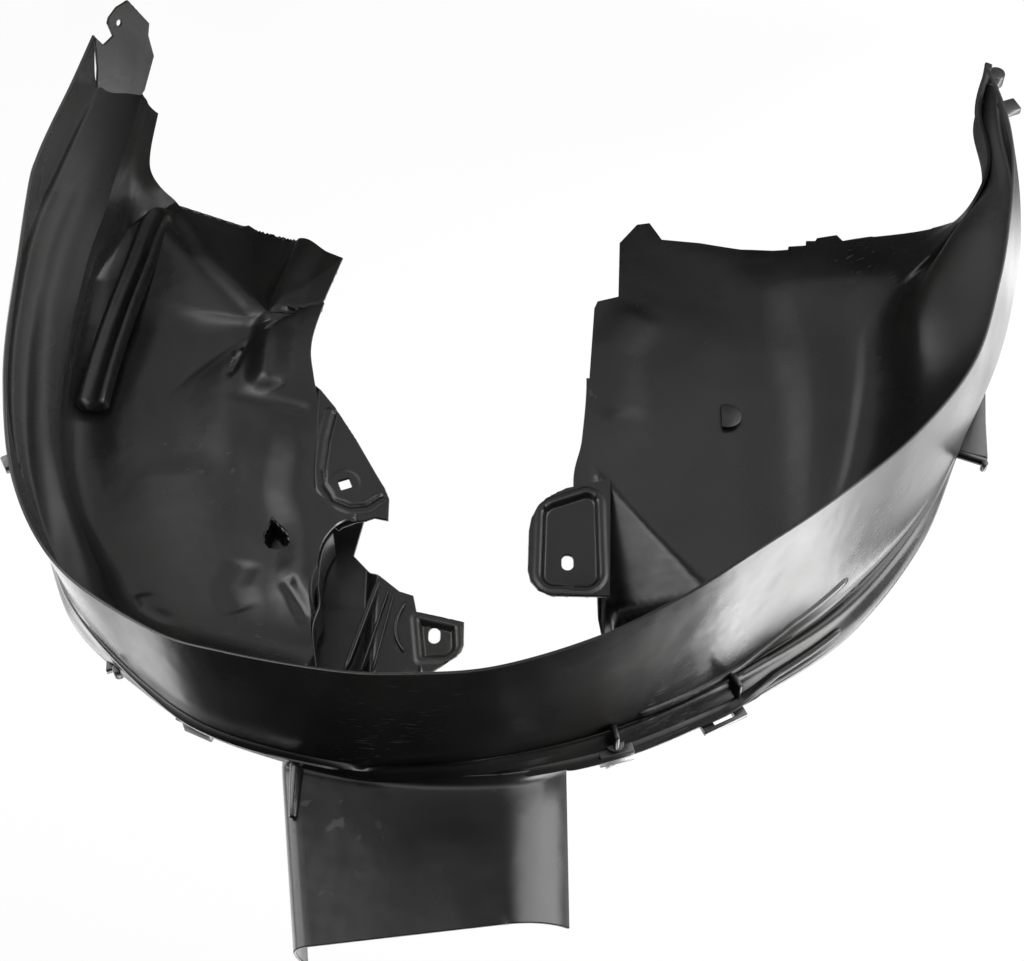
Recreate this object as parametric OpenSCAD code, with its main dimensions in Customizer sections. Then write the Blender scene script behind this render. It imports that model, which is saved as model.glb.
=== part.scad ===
// Wheel arch liner, one moulding.
// It is drawn about the wheel's centre: x runs along the car, y goes inboard, z goes up.
// The finished node is moved so that the round screw hole in the leg's tip is at the origin.

/* [Moulded sheet] */
// Wall thickness of the sheet
wall = 2.4; // [2:0.1:2.8]
// Cells along the arch in each span between two sections
cells_along = 3; // [2:1:3]
// Height of the upper panel above the crown strip
panel_height = 103; // [80:1:106]

/* [Fixing holes] */
// Width of the slotted screw holes
slot_width = 9; // [6:0.5:10]
// Length of the slotted screw holes
slot_length = 14; // [12:0.5:17]
// Side of the square grommet hole
grommet_side = 9; // [7:0.5:11]
// Bore of the round screw hole in the leg's tip
screw_bore = 5.5; // [4:0.1:7]

/* [Beads and lugs] */
// Height of the beads on the strip
bead_height = 3; // [2:0.5:4.5]
// Width of the beads on the strip
bead_width = 7; // [5:0.5:9]
// Height of the channel on the rear wall
channel_height = 8; // [5:0.5:10]
// Length of the tapered peg beside the panel
peg_length = 42; // [25:1:50]

/* [Hidden] */
// Each section lists lip, crest, step, tread, fold, root, middle and edge as [angle, radius, depth].
sections = [
    [[-114, 467, 28], [-114, 483, 55], [-114, 485, 60], [-115, 486, 65],
        [-116, 487, 72], [-116, 490, 79], [-117, 492, 85], [-117, 494, 92]],
    [[-108, 451, 16], [-109, 474, 68], [-110, 472, 74], [-111, 468, 80],
        [-112, 466, 88], [-113, 467, 95], [-113, 469, 102], [-114, 471, 109]],
    [[-102, 437, 6], [-104, 464, 75], [-104, 461, 84], [-105, 454, 92],
        [-106, 452, 103], [-107, 453, 112], [-107, 455, 120], [-107, 457, 128]],
    [[-96, 424, 0], [-98, 450, 76], [-98, 445, 86], [-99, 436, 95],
        [-100, 404, 112], [-103, 416, 140], [-106, 415, 165], [-109, 422, 184]],
    [[-89, 411, 0], [-91, 435, 76], [-91, 429, 87], [-91, 420, 98],
        [-92, 370, 122], [-97, 350, 174], [-108, 262, 186], [-143, 204, 184]],
    [[-80, 400, 0], [-80, 416, 76], [-80, 413, 88], [-80, 407, 98],
        [-80, 370, 140], [-84, 330, 182], [-92, 222, 188], [-116, 106, 184]],
    [[-68, 393, -3], [-68, 400, 76], [-68, 401, 90], [-68, 398, 102],
        [-68, 368, 146], [-68, 328, 184], [-70, 215, 190], [-80, 100, 184]],
    [[-55, 381, -12], [-55, 392, 76], [-55, 401, 90], [-55, 406, 103],
        [-55, 372, 148], [-55, 328, 184], [-52, 222, 190], [-50, 122, 184]],
    [[-42, 373, -20], [-42, 389, 76], [-42, 403, 90], [-42, 412, 104],
        [-42, 374, 148], [-42, 332, 182], [-38, 246, 186], [-33, 158, 184]],
    [[-31, 373, -20], [-31, 390, 76], [-31, 402, 90], [-31, 412, 104],
        [-31, 384, 140], [-31, 345, 172], [-28, 300, 182], [-24, 262, 184]],
    [[-23, 378, -14], [-23, 396, 77], [-23, 404, 90], [-23, 413, 104],
        [-23, 394, 125], [-23, 368, 142], [-23, 358, 150], [-22, 350, 156]],
    [[-14, 386, -8], [-14, 402, 78], [-14, 410, 90], [-14, 417, 104],
        [-14, 402, 118], [-14, 382, 128], [-14, 372, 132], [-14, 362, 134]],
    [[-4, 395, -3], [-4, 408, 78], [-4, 418, 90], [-4, 421, 103],
        [-4, 405, 118], [-4, 385, 128], [-4, 374, 132], [-4, 362, 134]],
    [[4, 398, 0], [4, 415, 78], [4, 422, 90], [4, 423, 103],
        [4, 405, 120], [4, 385, 130], [4, 374, 136], [4, 362, 140]],
    [[11, 400, 4], [11, 422, 79], [11, 424, 91], [11, 424, 104],
        [9, 408, 122], [7, 345, 202], [6, 291, 211], [8, 225, 212]],
    [[22, 402, 14], [22, 423, 80], [22, 424, 92], [22, 419, 106],
        [21, 392, 126], [20, 322, 200], [27, 245, 210], [26, 206, 212]],
    [[30, 404, 24], [30, 415, 84], [30, 416, 96], [30, 412, 110],
        [26, 388, 128], [21, 314, 166], [28, 245, 172], [29, 174, 178]],
    [[42, 402, 30], [42, 398, 88], [42, 401, 100], [42, 403, 114],
        [42, 375, 132], [42, 346, 172], [42, 250, 184], [42, 150, 184]],
    [[52, 388, 18], [52, 381, 95], [52, 381, 103], [52, 380, 112],
        [52, 356, 126], [52, 340, 180], [56, 238, 188], [62, 130, 184]],
    [[63, 360, 0], [64, 371, 82], [64, 368, 90], [64, 362, 98],
        [64, 340, 110], [64, 338, 184], [70, 234, 188], [84, 128, 184]],
    [[78, 336, 0], [78, 358, 75], [78, 353, 84], [78, 346, 92],
        [78, 322, 108], [78, 330, 186], [86, 228, 190], [104, 134, 184]],
    [[94, 332, 0], [94, 356, 75], [94, 349, 84], [94, 340, 92],
        [94, 312, 108], [98, 324, 188], [106, 172, 191], [137, 161, 186]],
    [[100, 334, 1], [100, 358, 75], [100, 351, 84], [100, 342, 92],
        [101, 314, 108], [106, 330, 184], [108, 184, 190], [133.5, 279, 228]],
    [[106, 337, 3], [107, 360, 75], [107, 354, 84], [107, 345, 92],
        [108, 318, 108], [115, 334, 176], [120, 325, 182], [125, 319, 186]],
    [[115, 348, 8], [116, 368, 72], [116, 363, 81], [117, 356, 90],
        [119, 338, 109], [121, 342, 138], [123, 343, 150], [125, 345, 158]],
    [[124, 370, 12], [124, 382, 66], [125, 381, 77], [126, 378, 88],
        [130, 374, 109], [131, 378, 128], [132, 382, 142], [133, 386, 154]]
];
// In these spans the wall's rails run straight, because its outline has corners there.
straight_spans = [9, 14, 15, 21, 22];
first_wall_rail = 5;
// Cells between each two neighbouring rails
cells_across = [2, 1, 1, 2, 3, 3, 4];

function polar(p) = [p[1] * sin(p[0]), p[2], p[1] * cos(p[0])];
function unit(v) = v / norm(v);
function spline(a, b, c, d, t) =
    0.5 * (2 * b + (c - a) * t + (2 * a - 5 * b + 4 * c - d) * t * t + (3 * b - a - 3 * c + d) * t * t * t);

knots = [for (s = sections) [for (p = s) polar(p)]];
last_section = len(sections) - 1;
last_rail = len(sections[0]) - 1;

function runs_straight(k, j) = j >= first_wall_rail && len(search(k, straight_spans)) > 0;
function rail_point(k, j, t) =
    let (a = knots[k][j], b = knots[k + 1][j])
    runs_straight(k, j) ? a + (b - a) * t :
    let (
        before = k > 0 && !runs_straight(k - 1, j) ? knots[k - 1][j] : a,
        after = k + 2 <= last_section && !runs_straight(k + 1, j) ? knots[k + 2][j] : b
    )
    spline(before, a, b, after, t);

// A place on the sheet: u counts sections along the arch and v counts rails across it.
function on_rail(u, j) =
    let (k = min(floor(u), last_section - 1))
    rail_point(k, j, u - k);
function bare_point(u, v) =
    let (j = min(floor(v), last_rail - 1), before = max(j - 1, 0), after = min(j + 2, last_rail))
    spline(on_rail(u, before), on_rail(u, j), on_rail(u, j + 1), on_rail(u, after), v - j);

// The front lobe's lower corner: beyond the crease the wall leans away from the wheel.
crease_start = [-121, 132];
crease_end = [-185, 213];
crease_slope = 0.3;
lean_from = -104;
lean_to = -240;
function lean(x, z) =
    let (run = crease_end - crease_start)
    x > lean_from || x < lean_to ? 0 :
    crease_slope * max(0, ((z - crease_start[1]) * run[0] - (x - crease_start[0]) * run[1]) / -norm(run));
function on_sheet(u, v) =
    let (p = bare_point(u, v))
    v > first_wall_rail ? p + [0, lean(p[0], p[2]), 0] : p;
function normal_at(u, v) =
    let (step = 0.05)
    unit(cross(
        on_sheet(min(u + step, last_section), v) - on_sheet(max(u - step, 0), v),
        on_sheet(u, min(v + step, last_rail)) - on_sheet(u, max(v - step, 0))
    ));

stations = [
    for (k = [0 : last_section - 1]) for (s = [0 : cells_along - 1]) k + s / cells_along,
    last_section
];
strands = [
    for (j = [0 : last_rail - 1]) for (s = [0 : cells_across[j] - 1]) j + s / cells_across[j],
    last_rail
];

// A closed sheet of even thickness on a grid of points.
module sheet(grid, thick) {
    rows = len(grid);
    columns = len(grid[0]);
    count = rows * columns;
    normals = [for (i = [0 : rows - 1]) [for (j = [0 : columns - 1])
        unit(cross(
            grid[min(i + 1, rows - 1)][j] - grid[max(i - 1, 0)][j],
            grid[i][min(j + 1, columns - 1)] - grid[i][max(j - 1, 0)]
        ))]];
    front = [for (i = [0 : rows - 1]) for (j = [0 : columns - 1]) grid[i][j] + normals[i][j] * thick / 2];
    back = [for (i = [0 : rows - 1]) for (j = [0 : columns - 1]) grid[i][j] - normals[i][j] * thick / 2];
    cells = [for (i = [0 : rows - 2]) for (j = [0 : columns - 2]) i * columns + j];
    ends = [for (j = [0 : columns - 2]) j];
    sides = [for (i = [0 : rows - 2]) i * columns];
    last_row = (rows - 1) * columns;
    polyhedron(concat(front, back), concat(
        [for (c = cells) [c, c + 1, c + columns + 1]],
        [for (c = cells) [c, c + columns + 1, c + columns]],
        [for (c = cells) [count + c, count + c + columns + 1, count + c + 1]],
        [for (c = cells) [count + c, count + c + columns, count + c + columns + 1]],
        [for (c = ends) [c, count + c, count + c + 1]],
        [for (c = ends) [c, count + c + 1, c + 1]],
        [for (c = ends) [last_row + c, count + last_row + c + 1, count + last_row + c]],
        [for (c = ends) [last_row + c, last_row + c + 1, count + last_row + c + 1]],
        [for (c = sides) [c, count + c + columns, count + c]],
        [for (c = sides) [c, c + columns, count + c + columns]],
        [for (c = sides) [c + columns - 1, count + c + columns - 1, count + c + 2 * columns - 1]],
        [for (c = sides) [c + columns - 1, count + c + 2 * columns - 1, c + 2 * columns - 1]]
    ));
}

// A bead with sloping sides and ends that follows a path; the up directions stand off the sheet.
bead_profile = [[-0.5, 0], [-0.28, 1], [0.28, 1], [0.5, 0]];
module bead(path, up, width, height) {
    rows = len(path);
    sides = len(bead_profile);
    points = [for (i = [0 : rows - 1])
        let (
            way = unit(path[min(i + 1, rows - 1)] - path[max(i - 1, 0)]),
            aside = cross(up[i], way),
            rise = i == 0 || i == rows - 1 ? 0.35 : 1
        )
        for (q = bead_profile)
            path[i] + aside * q[0] * width * (0.5 + rise / 2) + up[i] * q[1] * height * rise];
    quads = [for (i = [0 : rows - 2]) for (j = [0 : sides - 1])
        [i * sides + j, i * sides + (j + 1) % sides, (i + 1) * sides + (j + 1) % sides, (i + 1) * sides + j]];
    end = (rows - 1) * sides;
    polyhedron(points, concat(
        [for (q = quads) [q[0], q[1], q[2]]],
        [for (q = quads) [q[0], q[2], q[3]]],
        [[3, 2, 1], [3, 1, 0], [end, end + 1, end + 2], [end, end + 2, end + 3]]
    ));
}

// Puts its children on the arch: x along it, y inboard and z outwards.
module at_arch(angle, radius, depth) {
    rotate([0, angle, 0])
    translate([0, depth, radius])
    children();
}

// A flat plate in the plane of the wall, from an outline of [x, z] points.
module plate(outline, depth, thick) {
    translate([0, depth + thick / 2, 0])
    rotate([90, 0, 0])
    linear_extrude(thick)
    polygon(outline);
}

// A slot that runs through in y, longer along z.
module slot_hole(x, z, depth, reach) {
    translate([x, depth + reach / 2, z])
    rotate([90, 0, 0]) {
        translate([0, (slot_length - slot_width) / 2, 0])
        cylinder(h = reach, d = slot_width, $fn = 32);
        translate([0, -(slot_length - slot_width) / 2, 0])
        cylinder(h = reach, d = slot_width, $fn = 32);
        translate([-slot_width / 2, -(slot_length - slot_width) / 2, 0])
        cube([slot_width, slot_length - slot_width, reach]);
    }
}

// Arc of [x, z] points, for rounded corners of outlines
function arc(x, z, r, from, to, steps = 4) =
    [for (i = [0 : steps]) let (a = from + (to - from) * i / steps) [x + r * cos(a), z + r * sin(a)]];

// The front and rear walls end in one plane, which carries the tabs.
front_wall_section = 7;
wall_depth = sections[front_wall_section][last_rail][2];
tab_thick = 3.2;
dish_depth = 4;

// Tab of the front lobe: a dished pad with a slotted hole.
front_slot = [-80, 195];
function front_dish(edge) = concat(
    arc(-95, 142, 11 + edge, 180, 270),
    arc(-74, 154, 14 + edge, -70, -10),
    arc(-70, 208, 12 + edge, 0, 90),
    arc(-93, 208, 13 + edge, 90, 180)
);
module front_tab() {
    plate([[-116, 118], [-92, 124], [-80, 127], [-68, 134], [-58, 144], [-52, 156], [-50, 168], [-49, 204],
        [-51, 214], [-57, 222], [-67, 227], [-112, 228]], wall_depth, tab_thick);
}

// Wing of the rear wall: a flat tab with a square hole for a grommet.
wing_hole = [96, 123];
module rear_wing() {
    plate([[125, 22], [108, 46], [88, 81], [70, 116], [64, 127], [60, 139], [60, 157], [66, 160], [79, 159],
        [88, 164], [106, 146], [112, 120]], wall_depth, tab_thick);
}

// Lower tab of the rear wall, deeper inboard, with its own dish and slotted hole.
rear_tab_section = 14;
rear_depth = sections[rear_tab_section][last_rail][2];
rear_slot = [23, 244];
function rear_dish(edge) = concat(
    [[37 + edge, 230 - edge], [6 - edge, 238 - edge]],
    arc(16, 255, 11 + edge, 190, 100, 3),
    [[33 + edge, 267 + edge]]
);
module rear_tab() {
    plate(concat(
        [[92, 186], [88, 176], [66, 191], [40, 210], [37, 225], [0, 234]],
        arc(18, 252, 18, 190, 115, 3),
        [[21, 276], [30, 283], [40, 288], [70, 240]]
    ), rear_depth, tab_thick);
}

// A dish is a shallow cup that is pressed into a tab.
rim = 2.4;
module dish(outer, inner, depth) {
    difference() {
        plate(outer, depth + dish_depth / 2, tab_thick + dish_depth);
        plate(inner, depth - 4, dish_depth * 2 + tab_thick);
    }
}

// Tip plate of the rear leg, in the plane of the strip, with the round screw hole.
tip_corner = [317, 66, -214];
tip_along = unit([-0.257, -0.697, -0.67]);
tip_across = unit(cross(cross(tip_along, [-0.546, 0.677, -0.494]), tip_along));
tip_normal = cross(tip_along, tip_across);
tip_hole = [50, 13.5];
tip_thick = 2.6;
screw_place = tip_corner + tip_along * tip_hole[0] + tip_across * tip_hole[1];
module in_tip_frame() {
    multmatrix([
        [tip_along[0], tip_across[0], tip_normal[0], 0],
        [tip_along[1], tip_across[1], tip_normal[1], 0],
        [tip_along[2], tip_across[2], tip_normal[2], 0]
    ])
    children();
}
module tip_plate() {
    translate(tip_corner)
    in_tip_frame()
    translate([0, 0, -tip_thick / 2])
    linear_extrude(tip_thick)
    polygon([[-9, 5], [8, 1], [34, -10], [29, 2], [38, 10], [47, 1], [52, 1], [62, 7], [70, 18],
        [56, 48], [46, 50], [30, 62], [-1, 60], [-10, 54]]);
}

// Upper panel above the crown: a flat sheet with curled sides and a concave foot on the strip.
crown_section = 13;
tread_rail = 3;
strip_radius = sections[crown_section][tread_rail][1];
strip_back = sections[crown_section][tread_rail][2] - 1;
fillet = 9;
foot_sink = 2.2;
panel_plan = concat(
    [[112, 134], [117, 120]],
    [for (a = [0 : -30 : -90]) [110 + 8 * cos(a), 111 + 8 * sin(a)]],
    [[70, 103], [30, 103]],
    [for (a = [-90 : -10 : -140]) [-29 + 60 * cos(a), 163 + 60 * sin(a)]]
);
panel_pivot = -75;
panel_rake = 0.11;
function panel_foot(p) = sqrt(pow(strip_radius - 0.8 * max(0, p[1] - strip_back), 2) - p[0] * p[0]);
function panel_point(p, forward, up) =
    let (
        top = strip_radius + panel_height + panel_rake * p[0],
        z = panel_foot(p) + up * (top - panel_foot(p) - fillet) + (up > 0 ? fillet : 0)
    )
    [panel_pivot + (p[0] - panel_pivot) * (1 - 0.085 * up), p[1] - forward, z];
module upper_panel() {
    rows = concat(
        [for (a = [15 : 25 : 90]) [fillet * (1 - sin(a)), fillet * (1 - cos(a)) - foot_sink, 0]],
        [for (up = [0.25, 0.5, 0.75, 1]) [0, 0, up]]
    );
    sheet([for (r = rows) [for (p = panel_plan)
        panel_point(p, r[0], r[2]) + [0, 0, r[1]]]], wall);
}

// Beads and cross ribs on the strip, the channel on the rear wall and two ribs on the deep panel.
bead_steps = 10;
function spread(from, to) = [for (i = [0 : bead_steps]) from + (to - from) * i / bead_steps];
function places(from, to) = [for (share = spread(0, 1)) from + (to - from) * share];
function along(from, to) = [for (p = places(from, to)) on_sheet(p[0], p[1])];
function standing(from, to) = [for (p = places(from, to)) normal_at(p[0], p[1])];
module strip_bead(from, to) {
    bead(along(from, to), standing(from, to), bead_width, bead_height + wall / 2);
}
module strip_beads() {
    strip_bead([7.8, 1], [10.6, 1.3]);
    strip_bead([8.1, 2.35], [11.4, 3]);
    for (place = [[-28, 405], [-15, 411]])
        at_arch(place[0], place[1], 91)
        cube([3, 22, 12], center = true);
}

channel_path = [[271, 181, -174], [278, 184, -150], [286, 187, -105], [294, 188, -60], [301, 188, -15],
    [306, 187, 30], [308, 187, 56]];
channel_width = 26;
function straight_up(path) = [for (p = path) [0, -1, 0]];
module channel(width, height, back) {
    path = [for (p = channel_path) p + [0, back, 0]];
    bead(path, straight_up(path), width, height);
}
module deep_ribs() {
    for (v = [6.15, 6.5])
        bead(along([14.1, v], [14.9, v]), -standing([14.1, v], [14.9, v]), 6, 3 + wall / 2);
}

// Small lugs on the outside of the strip: gusset, box, boss and slotted lug, then the bracket.
module crown_lugs() {
    at_arch(36.5, 402, 108) {
        rotate([90, 0, 0])
        linear_extrude(6, center = true)
        polygon([[-12, 0], [12, 0], [-2, 15]]);
        translate([-8, 0, 9])
        rotate([90, 0, 0])
        cylinder(h = 10, d = 8, center = true, $fn = 24);
    }
    at_arch(25, 415, 108) {
        cube([22, 12, 16], center = true);
        translate([0, -7, 1])
        cube([32, 2.5, 14], center = true);
        translate([6, -9, 3])
        rotate([90, 0, 0])
        cylinder(h = 5, d = 4, center = true, $fn = 24);
    }
    at_arch(-15, 411, 106) {
        cube([24, 14, 16], center = true);
        translate([0, -8, 0])
        rotate([90, 0, 0])
        cylinder(h = 4, d = 13, center = true, $fn = 32);
        for (turn = [0, 60, 120])
            translate([0, -10, 0])
            rotate([0, turn, 0])
            cube([15, 2, 1.6], center = true);
    }
    at_arch(-26, 412, 108)
    difference() {
        cube([34, 5, 16], center = true);
        translate([0, 0, 3])
        cube([16, 7, 5], center = true);
    }
}
module bracket() {
    plate([for (q = [[-77.5, 412], [-73, 416], [-68.5, 424], [-68, 394], [-77.5, 398]])
        [q[1] * sin(q[0]), q[1] * cos(q[0])]], 104, 4);
    at_arch(-68, 409, 104)
    cylinder(h = 30, d = 7, center = true, $fn = 24);
    at_arch(-67.5, 423, 104)
    rotate([90, 0, 0])
    cylinder(h = 9, d = 5, center = true, $fn = 24);
}
module leg_lugs() {
    translate([-446, 66, -214])
    rotate([90, 0, 0])
    cylinder(h = 13, d = 15, center = true, $fn = 32);
    at_arch(-111.5, 486, 66)
    cube([14, 7, 16], center = true);
    at_arch(62.5, 375, 84)
    cube([12, 8, 12], center = true);
}
module peg() {
    translate([108, 99, 408])
    cylinder(h = peg_length, d1 = 9, d2 = 5, $fn = 32);
}
// D-shaped pad on the front lobe
module lobe_pad() {
    translate([-213, 189, 54])
    rotate([90, 0, 0])
    difference() {
        cylinder(h = 5, d = 24, $fn = 48);
        translate([5, -15, -1])
        cube([20, 30, 7]);
    }
}

// What is cut away beyond the front lobe's lower outline
module lobe_trim() {
    plate([[-401, -136], [-353, -144], [-326, -136], [-322, -145], [-304, -140], [-302, -136],
        [-294, -136], [-293, -130], [-278, -129], [-277, -125], [-264, -124], [-236, -126], [-201, -134],
        [-168, -138], [-158, -157], [-147, -155], [-131, -134], [-128, -73], [-110, -67], [-107, -59],
        [-101, 17], [-60, 10], [-60, -200], [-404, -200]], wall_depth, 40);
}

module wheel_arch_liner() {
    color([0.05, 0.05, 0.055])
    translate(-screw_place)
    difference() {
        union() {
            difference() {
                union() {
                    sheet([for (u = stations) [for (v = strands) on_sheet(u, v)]], wall);
                    front_tab();
                    rear_tab();
                    rear_wing();
                    channel(channel_width, channel_height + wall / 2, 0);
                }
                lobe_trim();
                plate(front_dish(-rim / 2), wall_depth, 20);
                plate(rear_dish(-rim / 2), rear_depth, 20);
                channel(channel_width - 2 * wall, channel_height + 1.3, 2.5);
            }
            dish(front_dish(0), front_dish(-rim), wall_depth);
            dish(rear_dish(0), rear_dish(-rim), rear_depth);
            tip_plate();
            upper_panel();
            strip_beads();
            deep_ribs();
            crown_lugs();
            bracket();
            leg_lugs();
            peg();
            lobe_pad();
        }
        slot_hole(front_slot[0], front_slot[1], wall_depth, 40);
        slot_hole(rear_slot[0], rear_slot[1], rear_depth, 40);
        translate([wing_hole[0], wall_depth, wing_hole[1]])
        rotate([0, 20, 0])
        cube([grommet_side, 30, grommet_side], center = true);
        translate(screw_place)
        in_tip_frame()
        cylinder(h = 20, d = screw_bore, center = true, $fn = 48);
    }
}

wheel_arch_liner();
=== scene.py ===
import math
import bmesh
import bpy
import numpy as np
from mathutils import Matrix, Vector
from mathutils.geometry import delaunay_2d_cdt


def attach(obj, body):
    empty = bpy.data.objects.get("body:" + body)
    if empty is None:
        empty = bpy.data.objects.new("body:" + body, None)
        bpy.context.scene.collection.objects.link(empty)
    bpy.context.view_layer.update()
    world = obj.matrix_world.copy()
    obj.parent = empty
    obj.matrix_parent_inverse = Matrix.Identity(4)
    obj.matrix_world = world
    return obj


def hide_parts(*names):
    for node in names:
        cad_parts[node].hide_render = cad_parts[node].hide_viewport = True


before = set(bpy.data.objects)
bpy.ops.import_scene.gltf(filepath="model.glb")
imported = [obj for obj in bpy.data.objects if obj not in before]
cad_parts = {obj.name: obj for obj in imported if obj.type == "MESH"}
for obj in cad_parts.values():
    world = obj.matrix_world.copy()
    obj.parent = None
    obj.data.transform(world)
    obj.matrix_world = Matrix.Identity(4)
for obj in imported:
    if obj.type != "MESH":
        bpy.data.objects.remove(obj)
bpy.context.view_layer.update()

scene = bpy.context.scene

# Camera and studio
#
# The liner was photographed crown down from in front and above, on white. Here it keeps its place
# as fitted, so the camera is rolled half a turn. Points are in millimetres about the wheel's centre,
# and to_frame moves them to the frame whose origin is the screw hole of the leg's tip.
SCREW_PLACE = np.array([296.78, 40.30, -254.16])


def to_frame(points):
    return (np.asarray(points, float) - SCREW_PLACE) * 0.001


TILT = math.radians(35)
camera_data = bpy.data.cameras.new("photo_camera")
camera_data.sensor_fit = "HORIZONTAL"
camera_data.sensor_width = 36
camera_data.lens = 66.797
camera_data.clip_end = 20
camera = bpy.data.objects.new("photo_camera", camera_data)
scene.collection.objects.link(camera)
camera.matrix_world = Matrix.Translation(Vector(to_frame([-37, -1056.7, 987.9]))) @ Matrix((
    (-1, 0, 0, 0),
    (0, -math.sin(TILT), -math.cos(TILT), 0),
    (0, -math.cos(TILT), math.sin(TILT), 0),
    (0, 0, 0, 1)))
scene.camera = camera
scene.view_settings.view_transform = "Standard"


def softbox(name, place, target, width, height, watts):
    data = bpy.data.lights.new(name, "AREA")
    data.shape = "RECTANGLE"
    data.size = width
    data.size_y = height
    data.energy = watts
    lamp = bpy.data.objects.new(name, data)
    scene.collection.objects.link(lamp)
    start = Vector(to_frame(place))
    aim = Vector(to_frame(target)) - start
    lamp.matrix_world = Matrix.Translation(start) @ aim.to_track_quat("-Z", "Y").to_matrix().to_4x4()
    lamp.visible_camera = False


# One box stands behind the arch, three toward the front leg at different heights and one toward the
# rear leg. A weak one in front lifts the walls. None is overhead, so the crown stays black.
softbox("back_box", [300, 2600, 1500], [0, 100, 250], 1.6, 0.7, 22)
softbox("top_box", [-1850, -300, 1250], [-150, 60, 250], 1.2, 0.8, 32)
softbox("front_side_box", [-1850, 1750, 850], [-200, 60, 250], 2.8, 0.7, 62)
softbox("front_low_box", [-2100, 100, 600], [-300, 60, 200], 1.5, 1.0, 28)
softbox("rear_side_box", [1900, 1050, 480], [150, 60, 150], 1.3, 1.0, 20)
softbox("front_fill", [0, -1900, 300], [0, 100, 150], 2.4, 1.0, 4)


WHITE = (1, 1, 1, 1)


def wired(tree, kind, sockets, **settings):
    """A new node. Each socket that is named takes a value, or a link from another node's socket."""
    node = tree.nodes.new(kind)
    for name, value in settings.items():
        setattr(node, name, value)
    for name, value in sockets.items():
        if isinstance(value, bpy.types.NodeSocket):
            tree.links.new(value, node.inputs[name])
        else:
            node.inputs[name].default_value = value
    return node


def studio_world():
    """White for the camera; for the light a pale horizon under a dark ceiling."""
    world = bpy.data.worlds.new("studio")
    world.use_nodes = True
    tree = world.node_tree
    tree.nodes.clear()
    direction = wired(tree, "ShaderNodeTexCoord", {})
    split = wired(tree, "ShaderNodeSeparateXYZ", {"Vector": direction.outputs["Generated"]})
    height = wired(tree, "ShaderNodeMapRange", {"Value": split.outputs["Z"], "From Min": 0.12,
                                                "From Max": 0.52, "To Min": 0.8, "To Max": 0.02})
    light = wired(tree, "ShaderNodeBackground", {"Color": WHITE, "Strength": height.outputs["Result"]})
    white = wired(tree, "ShaderNodeBackground", {"Color": WHITE, "Strength": 1})
    ray = wired(tree, "ShaderNodeLightPath", {})
    mix = wired(tree, "ShaderNodeMixShader", {"Fac": ray.outputs["Is Camera Ray"],
                                              1: light.outputs["Background"],
                                              2: white.outputs["Background"]})
    wired(tree, "ShaderNodeOutputWorld", {"Surface": mix.outputs["Shader"]})
    return world


scene.world = studio_world()


FLOOR_BELOW = -283


def studio_floor():
    """Paper that is white to the camera. In reflections it glows with painted light: a painted shadow
    under the liner, darker far in front, and a glow brighter than white to the sides and behind.
    """
    mesh = bpy.data.meshes.new("floor")
    low = float(to_frame([0, 0, FLOOR_BELOW])[2])
    mesh.from_pydata([(-4.5, -4, low), (4, -4, low), (4, 4.5, low), (-4.5, 4.5, low)], [],
                     [(0, 1, 2, 3)])
    floor = bpy.data.objects.new("floor", mesh)
    scene.collection.objects.link(floor)
    material = bpy.data.materials.new("floor_paper")
    material.use_nodes = True
    tree = material.node_tree

    def maths(operation, first, second):
        node = wired(tree, "ShaderNodeMath", {0: first, 1: second}, operation=operation)
        return node.outputs[0]

    def ramp(source, low, high):
        node = wired(tree, "ShaderNodeMapRange", {"From Min": low, "From Max": high, "Value": source},
                     interpolation_type="SMOOTHSTEP")
        return node.outputs["Result"]

    shader = tree.nodes["Principled BSDF"]
    shader.inputs["Base Color"].default_value = (0.8, 0.8, 0.8, 1)
    shader.inputs["Roughness"].default_value = 0.9
    place = wired(tree, "ShaderNodeTexCoord", {}).outputs["Object"]
    split = wired(tree, "ShaderNodeSeparateXYZ", {"Vector": place})
    cloud = wired(tree, "ShaderNodeTexNoise", {"Scale": 5, "Detail": 1, "Vector": place})
    ray = wired(tree, "ShaderNodeLightPath", {}).outputs
    middle = float(to_frame([-37, 0, 0])[0])
    across, back = split.outputs["X"], split.outputs["Y"]
    # Painted light seen only in reflections: the glow is near zero under the liner as a painted shadow,
    # and to the sides in front it reaches five times white, standing in for lamps.
    in_front = ramp(back, 0.0, -0.2)
    aside = ramp(maths("ABSOLUTE", maths("SUBTRACT", across, middle), 0.0), 0.3, 0.95)
    behind = maths("MULTIPLY", ramp(back, 0.2, 0.36), 2.0)
    near = maths("MULTIPLY", ramp(back, -0.95, -0.55), in_front)
    sides = maths("MULTIPLY", maths("MULTIPLY", aside, 5.0), in_front)
    patchy = maths("ADD", maths("MULTIPLY", ramp(cloud.outputs["Fac"], 0.35, 0.65), 0.8), 0.6)
    lit = maths("ADD", maths("MULTIPLY", near, 0.7), maths("ADD", sides, behind))
    painted_reflection_glow = maths("ADD", maths("MULTIPLY", lit, patchy), 0.04)
    glossy = maths("MAXIMUM", ray["Is Glossy Ray"], ray["Is Transmission Ray"])
    seen = maths("ADD", maths("MULTIPLY", ray["Is Camera Ray"], 0.94), glossy)
    strength = maths("ADD", ray["Is Camera Ray"], maths("MULTIPLY", glossy, painted_reflection_glow))
    glow = wired(tree, "ShaderNodeEmission", {"Color": WHITE, "Strength": strength})
    mix = wired(tree, "ShaderNodeMixShader", {"Fac": seen, 1: shader.outputs["BSDF"],
                                              2: glow.outputs["Emission"]})
    tree.links.new(mix.outputs["Shader"], tree.nodes["Material Output"].inputs["Surface"])
    mesh.materials.append(material)


studio_floor()
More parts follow.
